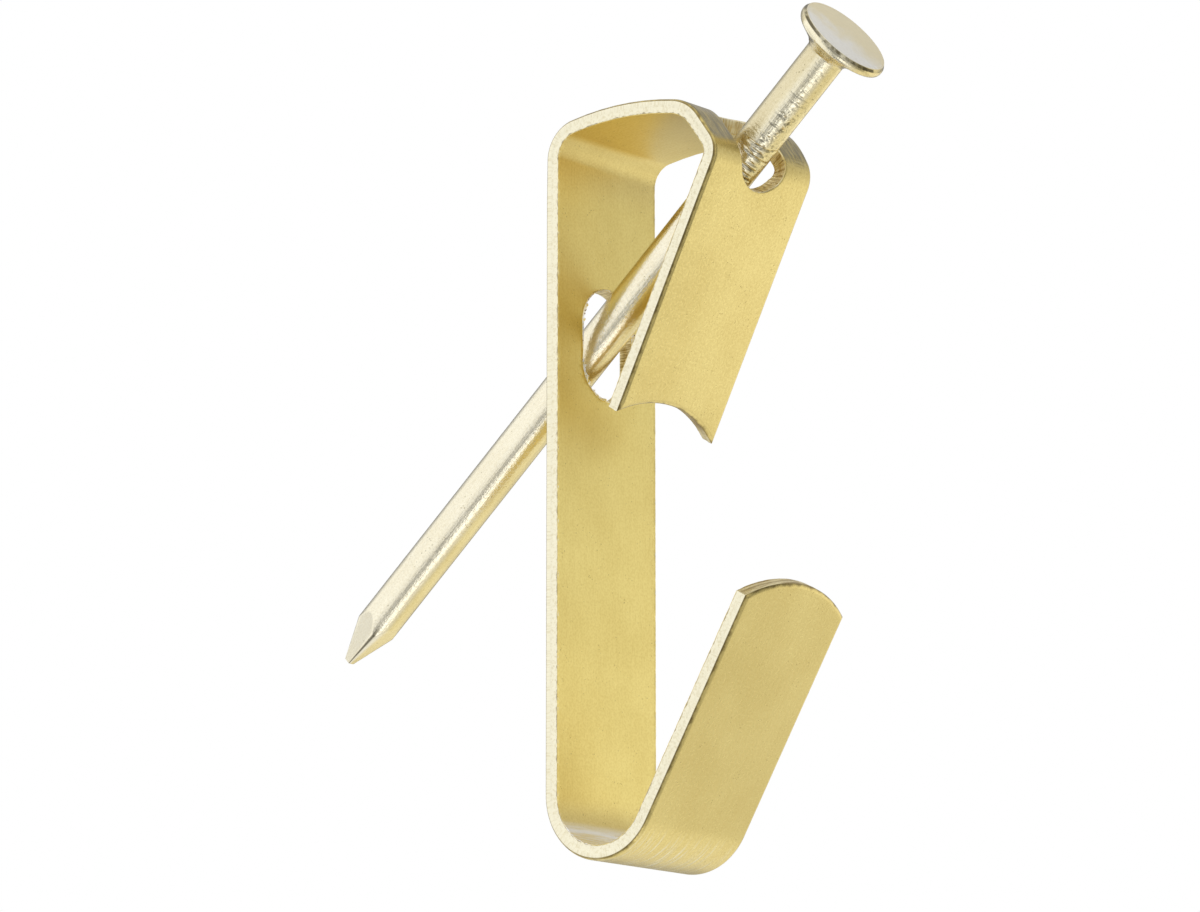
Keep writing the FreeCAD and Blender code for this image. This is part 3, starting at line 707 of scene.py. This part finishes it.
def shape_nail():
    """Spins the outline, presses the notches, cuts the point and sets the head slightly askew."""
    nail = bmesh.new()
    place = nail.verts.layers.float_vector.new("wire")
    notched = nail.verts.layers.float.new("notched")
    outline = [nail.verts.new((radius, 0, height)) for radius, height in nail_profile()]
    edges = [nail.edges.new(pair) for pair in zip(outline, outline[1:])]
    bmesh.ops.spin(nail, geom=outline + edges, cent=(0, 0, 0), axis=(0, 0, 1), angle=math.tau,
                   steps=NAIL_SIDES, use_merge=True)
    bmesh.ops.remove_doubles(nail, verts=nail.verts[:], dist=1e-5)
    low = NAIL_OUT - NAIL_LENGTH
    neck = NAIL_OUT - HEAD_CROWN - HEAD_BEVEL_DROP - HEAD_RIM - HEAD_CONE
    facing = way(math.radians(HEAD_TILT_TURN)).to_3d()
    for vert in nail.verts:
        vert[place] = (vert.co.z, vert.co.x, vert.co.y)
        angle = math.atan2(vert.co.y, vert.co.x)
        radius = vert.co.to_2d().length
        height = vert.co.z
        if radius > 0.9 * NAIL_RADIUS and height < neck - NECK_FILLET:
            vert[notched] = pressed(height, math.degrees(angle))
            radius -= vert[notched]
            share = (height - low) / POINT_LENGTH
            flat = POINT_BLUNT / 2 + (NAIL_RADIUS - POINT_BLUNT / 2) * share
            corner = abs(math.cos(angle)) ** RIDGE_POWER + abs(math.sin(angle)) ** RIDGE_POWER
            radius = min(radius, flat / corner ** (1 / RIDGE_POWER))
            vert.co.x, vert.co.y = radius * math.cos(angle), radius * math.sin(angle)
        elif height >= neck:
            grown = min(1.0, (height - neck) / HEAD_CONE)
            vert.co.z -= grown * vert.co.dot(facing) * math.tan(math.radians(HEAD_TILT))
            vert.co.x += grown * HEAD_OFF_CENTRE[0]
            vert.co.y += grown * HEAD_OFF_CENTRE[1]
    bmesh.ops.recalc_face_normals(nail, faces=nail.faces[:])
    turn = Matrix.Rotation(math.radians(90 - NAIL_SLANT), 4, "X")
    bmesh.ops.transform(nail, matrix=Matrix.Scale(MM, 4) @ turn, verts=nail.verts[:])
    return nail


WIRE_LIGHT, WIRE_DEEP = (0.96, 0.91, 0.74, 1), (0.78, 0.68, 0.44, 1)
SHADED_UPPER_LIGHT, SHADED_UPPER_DEEP = (0.80, 0.72, 0.49, 1), (0.58, 0.48, 0.25, 1)
FRONT_HIGHLIGHT_LIGHT, FRONT_HIGHLIGHT_DEEP = (0.98, 0.93, 0.74, 1), (0.84, 0.74, 0.46, 1)
REFLECTED_GOLD_LIGHT, REFLECTED_GOLD_DEEP = (0.94, 0.80, 0.40, 1), (0.66, 0.50, 0.18, 1)
TOP_PALE, TOP_WARM = (1.0, 0.98, 0.92, 1), (0.96, 0.87, 0.62, 1)
TOP_GREY = (0.60, 0.54, 0.40, 1)
SHADE_AND_FLECK_BROWN = (0.10, 0.08, 0.035, 1)
FRONT_WAY = (-0.64, -0.77)
FLECK_WAY = (-0.276, -0.961)
COMB_WAY = (-0.70, -0.714)
PATCH_WAY = (-0.36, -0.26)
NAIL_RELIEF = 0.04


def nail_material():
    """Plating over drawn wire, with ring marks and flecks by the head, and painted light: a golden reflection
    round most of the shank, shade and a front highlight on the upper shank, and dark shade on the bevel, a
    streak, the notches and the point's ridge.
    """
    material, tree, shader = metal("plated_nail")
    place = node(tree, "ShaderNodeAttribute", attribute_name="wire").outputs["Vector"]
    height, right, ahead = node(tree, "ShaderNodeSeparateXYZ", {0: place}).outputs

    def towards(side):
        return maths(tree, "MULTIPLY_ADD", right, side[0], maths(tree, "MULTIPLY", ahead, side[1]))

    radius = maths(tree, "SQRT", towards((right, ahead)))
    # A painted golden reflection round the shank, except on the side towards -x, which stays pale.
    gold_reflection_side = ramp(tree, maths(tree, "DIVIDE", right, maths(tree, "ADD", radius, 0.001)), -0.66, -0.2)
    # The upper shank painted darker as shade, with a paler painted highlight on its side towards FRONT_WAY.
    upper_shank = ramp(tree, height, 6.0, 11.0)
    front_highlight = ramp(tree, towards(FRONT_WAY), 0.75, 0.97)
    light = blend(tree, upper_shank, WIRE_LIGHT, blend(tree, front_highlight, SHADED_UPPER_LIGHT, FRONT_HIGHLIGHT_LIGHT))
    deep = blend(tree, upper_shank, WIRE_DEEP, blend(tree, front_highlight, SHADED_UPPER_DEEP, FRONT_HIGHLIGHT_DEEP))
    light = blend(tree, gold_reflection_side, light, REFLECTED_GOLD_LIGHT)
    deep = blend(tree, gold_reflection_side, deep, REFLECTED_GOLD_DEEP)
    skin = plate(tree, place, light, deep)

    edge = NAIL_OUT - HEAD_CROWN
    rings = noise(tree, place, 1.0, 3.0, (9.0, 0.8, 0.8))
    upper = ramp(tree, height, 9.0, 12.0)
    zone = maths(tree, "MULTIPLY", ramp(tree, towards(FLECK_WAY), 0.55, 0.95), upper)
    zone = maths(tree, "MULTIPLY", zone, ramp(tree, height, 16.0, 17.2, 1.0, 0.0))
    fleck = ramp(tree, noise(tree, place, 5.0, 4.0), 0.58, 0.66)
    fleck = maths(tree, "MULTIPLY", fleck, ramp(tree, zone, 0.0, 1.0, 0.04, 0.45))
    # Painted shade, mottled, on the head's bevel band.
    bevel = window(tree, height, (edge - 0.16, edge - 0.13), (edge - 0.04, edge - 0.01))
    bevel = maths(tree, "MULTIPLY", bevel, ramp(tree, noise(tree, place, 1.6, 5.0), 0.36, 0.6, 0.1, 0.9))
    # A painted dark reflection as a streak along one side of the upper shank, and painted shade in the deeper
    # notches.
    comb = maths(tree, "MULTIPLY", ramp(tree, towards(COMB_WAY), 0.93, 0.99),
                 window(tree, height, (12.2, 14.5), (17.6, 18.0)))
    strokes = noise(tree, place, 1.0, 4.0, (10.0, 1.6, 1.6))
    comb = maths(tree, "MULTIPLY", comb, ramp(tree, strokes, 0.52, 0.62, 0.0, 0.25))
    notched = node(tree, "ShaderNodeAttribute", attribute_name="notched").outputs["Fac"]
    comb = maths(tree, "MAXIMUM", comb, ramp(tree, notched, 0.03, 0.065, 0.0, 0.65))
    low = NAIL_OUT - NAIL_LENGTH
    # A painted dark reflection as a line along one ridge of the point.
    ridge = maths(tree, "ABSOLUTE", maths(tree, "SUBTRACT", right, ahead))
    ridge = maths(tree, "MULTIPLY", ramp(tree, ridge, 0.05, 0.16, 0.8, 0.0),
                  ramp(tree, height, low + POINT_LENGTH * 0.75, low + POINT_LENGTH * 1.05, 1.0, 0.0))
    # One brown for the painted shade on bevel, streak, notches and ridge, and for dark flecks over the
    # knocked patch.
    shade_and_flecks = maths(tree, "MAXIMUM", maths(tree, "MAXIMUM", bevel, fleck), maths(tree, "MAXIMUM", comb, ridge))
    shank_colour = blend(tree, shade_and_flecks, skin["Color"], SHADE_AND_FLECK_BROWN)

    top = ramp(tree, height, edge - 0.012, edge - 0.002)
    uneven = maths(tree, "SUBTRACT", noise(tree, place, 0.9, 2.0), 0.5)
    cloud = maths(tree, "MULTIPLY_ADD", uneven, 1.6, towards(PATCH_WAY))
    top_colour = blend(tree, ramp(tree, cloud, -0.3, 0.7), TOP_WARM, TOP_PALE)
    tooth = ramp(tree, noise(tree, place, 6.0, 4.0), 0.35, 0.7, 0.0, 0.08)
    top_colour = blend(tree, tooth, top_colour, TOP_GREY)
    tree.links.new(blend(tree, top, shank_colour, top_colour), shader.inputs["Base Color"])
    drawn = maths(tree, "ADD", skin["Roughness"], ramp(tree, height, 8.0, 11.0, -0.10, -0.08))
    rough = node(tree, "ShaderNodeMix", {0: top, 2: drawn, 3: 0.5})
    tree.links.new(rough.outputs[0], shader.inputs["Roughness"])
    bumps = maths(tree, "MULTIPLY_ADD", maths(tree, "MULTIPLY", rings, upper), 0.4, skin["Height"])
    bumps = maths(tree, "MULTIPLY", bumps, ramp(tree, height, edge - 0.2, edge, 1.0, 0.3))
    relief = node(tree, "ShaderNodeBump", {"Strength": 0.6, "Distance": NAIL_RELIEF * MM, "Height": bumps})
    tree.links.new(relief.outputs[0], shader.inputs["Normal"])
    return material


nail = make_piece("wire_nail", shape_nail(), 30)
nail.data.materials.append(nail_material())
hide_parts("nail")
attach(nail, "root")

# Studio
# A pale floor far below the hook, which hangs free, soft light from large pale surroundings, and the
# photograph's low three-quarter view.

FLOOR_DROP = 400.0
FLOOR_HALF = 1.5
FLOOR_FADE = (0.45, 0.98)
FLOOR_SHADES = (0.83, 0.87)
ROOM_LEVEL = 0.80
LAMP_SIZE = 0.5
LAMP_POWER = 0.6
LAMP_PLACE = (-0.2, -0.1, 0.6)
CAMERA_AZIMUTH = -51.61
CAMERA_ELEVATION = -11.33
CAMERA_DISTANCE = 240.0
CAMERA_LENS = 152.0
CAMERA_SENSOR = 36.0
PANEL_WAY = (0.80, -0.58)
PANEL_DISTANCE = 90.0
PANEL_HALF = 100.0
PANEL_DROP = 78.0
PANEL_HEIGHT = -18.0
PANEL_REACH = 62.0
PANEL_BRIGHT = 1.06
PANEL_DIM = 0.65
PANEL_FOOT = 14.0
PANEL_FOOT_GLOW = 0.22
PANEL_SHADED = (-0.045, -0.018)


def lay_floor():
    """A wide pale sheet that fades into the white backdrop far from the hook."""
    sheet = bmesh.new()
    bmesh.ops.create_grid(sheet, x_segments=8, y_segments=8, size=FLOOR_HALF)
    bmesh.ops.translate(sheet, verts=sheet.verts[:], vec=(0, 0, -FLOOR_DROP * MM))
    floor = make_piece("floor", sheet, 30)
    material = bpy.data.materials.new("floor_paper")
    material.use_nodes = True
    tree = material.node_tree
    shader = tree.nodes["Principled BSDF"]
    place = node(tree, "ShaderNodeTexCoord").outputs["Object"]
    tooth = noise(tree, place, 40.0, 4.0)
    shade = node(tree, "ShaderNodeMapRange", {"Value": tooth, "To Min": FLOOR_SHADES[0],
                                              "To Max": FLOOR_SHADES[1]})
    tree.links.new(shade.outputs[0], shader.inputs["Base Color"])
    shader.inputs["Roughness"].default_value = 0.9
    far = node(tree, "ShaderNodeVectorMath", {0: place}, operation="LENGTH").outputs["Value"]
    ray = node(tree, "ShaderNodeLightPath").outputs["Is Camera Ray"]
    fade = maths(tree, "MULTIPLY", ramp(tree, far, *FLOOR_FADE), ray)
    white = node(tree, "ShaderNodeEmission", {"Color": (1, 1, 1, 1), "Strength": 1.0})
    paper = node(tree, "ShaderNodeMixShader", {0: fade, 1: shader.outputs[0], 2: white.outputs[0]})
    tree.links.new(paper.outputs[0], tree.nodes["Material Output"].inputs["Surface"])
    floor.data.materials.append(material)
    floor.visible_glossy = False


def light_room():
    """A white backdrop for the camera, and large soft panels and darker gaps for the metal to reflect."""
    world = bpy.data.worlds.new("studio")
    bpy.context.scene.world = world
    world.use_nodes = True
    tree = world.node_tree
    tree.nodes.clear()
    way_in = node(tree, "ShaderNodeTexCoord").outputs["Generated"]
    level = ROOM_LEVEL
    # Brighter and darker parts of the room, as (direction, cosine at the edge, cosine inside, change).
    lobes = [
        ((-0.75, 0.63, 0.20), 0.25, 0.90, 0.26),
        ((-0.36, -0.33, -0.87), 0.955, 0.99, 0.75),
        ((-0.70, -0.18, -0.69), 0.978, 0.997, -0.36),
        ((0.0, -0.87, -0.49), 0.78, 0.95, -0.28),
        ((-0.42, 0.06, -0.91), 0.925, 0.985, -0.55),
        ((-0.50, 0.86, -0.03), 0.93, 0.99, -0.25),
        ((0.75, -0.08, -0.65), 0.80, 0.97, 0.14),
        ((-0.77, -0.61, -0.20), 0.80, 0.97, -0.55),
        ((0.74, 0.15, 0.65), 0.80, 0.97, -0.16),
        ((0.77, 0.63, 0.05), 0.86, 0.97, -0.42),
        ((0.42, 0.80, 0.42), 0.88, 0.97, -0.35),
    ]
    for direction, outer, inner, amount in lobes:
        facing = node(tree, "ShaderNodeVectorMath", {0: way_in, 1: Vector(direction).normalized()},
                      operation="DOT_PRODUCT")
        level = maths(tree, "ADD", ramp(tree, facing.outputs["Value"], outer, inner, 0.0, amount), level)
    room = node(tree, "ShaderNodeBackground", {"Strength": 1.0})
    tree.links.new(level, room.inputs["Color"])
    white = node(tree, "ShaderNodeBackground", {"Color": (1, 1, 1, 1), "Strength": 1.0})
    ray = node(tree, "ShaderNodeLightPath")
    mix = node(tree, "ShaderNodeMixShader", {0: ray.outputs["Is Camera Ray"], 1: room.outputs[0],
                                             2: white.outputs[0]})
    node(tree, "ShaderNodeOutputWorld", {"Surface": mix.outputs[0]})


def hang_lamp():
    """One large soft lamp overhead, which the metal's gloss doesn't show."""
    lamp = bpy.data.lights.new("soft_panel", "AREA")
    lamp.shape = "DISK"
    lamp.size = LAMP_SIZE
    lamp.energy = LAMP_POWER
    panel = bpy.data.objects.new("soft_panel", lamp)
    panel.location = LAMP_PLACE
    panel.rotation_euler = (Vector((0, 0, 0)) - panel.location).to_track_quat("-Z", "Y").to_euler()
    panel.visible_glossy = False
    bpy.context.scene.collection.objects.link(panel)


def stand_panel():
    """A glowing panel close on the right, brightest at its middle, which only the metal's gloss shows."""
    sheet = bmesh.new()
    bmesh.ops.create_grid(sheet, x_segments=1, y_segments=1, size=PANEL_HALF * MM)
    aim = Vector((PANEL_WAY[0], PANEL_WAY[1], 0)).normalized()
    turn = aim.to_track_quat("Z", "Y").to_matrix().to_4x4()
    bmesh.ops.transform(sheet, matrix=turn, verts=sheet.verts[:])
    rise = Vector((0, 0, PANEL_HALF - PANEL_DROP))
    bmesh.ops.translate(sheet, verts=sheet.verts[:], vec=(aim * PANEL_DISTANCE + rise) * MM)
    panel = make_piece("side_panel", sheet, 30)
    material = bpy.data.materials.new("panel_glow")
    material.use_nodes = True
    tree = material.node_tree
    tree.nodes.clear()
    place = node(tree, "ShaderNodeTexCoord").outputs["Object"]
    height = node(tree, "ShaderNodeSeparateXYZ", {0: place}).outputs[2]
    sideways = node(tree, "ShaderNodeVectorMath", {0: place, 1: (-aim.y, aim.x, 0)}, operation="DOT_PRODUCT")
    off = maths(tree, "ABSOLUTE", maths(tree, "SUBTRACT", height, PANEL_HEIGHT * MM))
    glow = ramp(tree, off, 0.0, PANEL_REACH * MM, PANEL_BRIGHT, PANEL_DIM)
    foot = ramp(tree, height, -PANEL_DROP * MM, (-PANEL_DROP + PANEL_FOOT) * MM, PANEL_FOOT_GLOW, 0.0)
    glow = maths(tree, "ADD", glow, foot)
    glow = maths(tree, "MULTIPLY", glow, ramp(tree, sideways.outputs["Value"], *PANEL_SHADED, 0.3, 1.0))
    light = node(tree, "ShaderNodeEmission", {"Strength": glow})
    node(tree, "ShaderNodeOutputMaterial", {"Surface": light.outputs[0]})
    panel.data.materials.append(material)
    panel.visible_camera = False
    panel.visible_diffuse = False
    panel.visible_shadow = False


def set_camera():
    """Looks at the middle of the part from the photograph's side, slightly from below."""
    azimuth, elevation = math.radians(CAMERA_AZIMUTH), math.radians(CAMERA_ELEVATION)
    back = Vector((math.sin(azimuth) * math.cos(elevation), -math.cos(azimuth) * math.cos(elevation),
                   math.sin(elevation)))
    low, high = cad_box
    middle = (Vector(low) + Vector(high)) / 2
    lens = bpy.data.cameras.new("camera")
    lens.lens = CAMERA_LENS
    lens.sensor_width = CAMERA_SENSOR
    lens.clip_start = 0.01
    camera = bpy.data.objects.new("camera", lens)
    camera.location = middle + back * CAMERA_DISTANCE * MM
    camera.rotation_euler = back.to_track_quat("Z", "Y").to_euler()
    bpy.context.scene.collection.objects.link(camera)
    bpy.context.scene.camera = camera


lay_floor()
light_room()
hang_lamp()
stand_panel()
set_camera()
bpy.context.scene.view_settings.view_transform = "Standard"
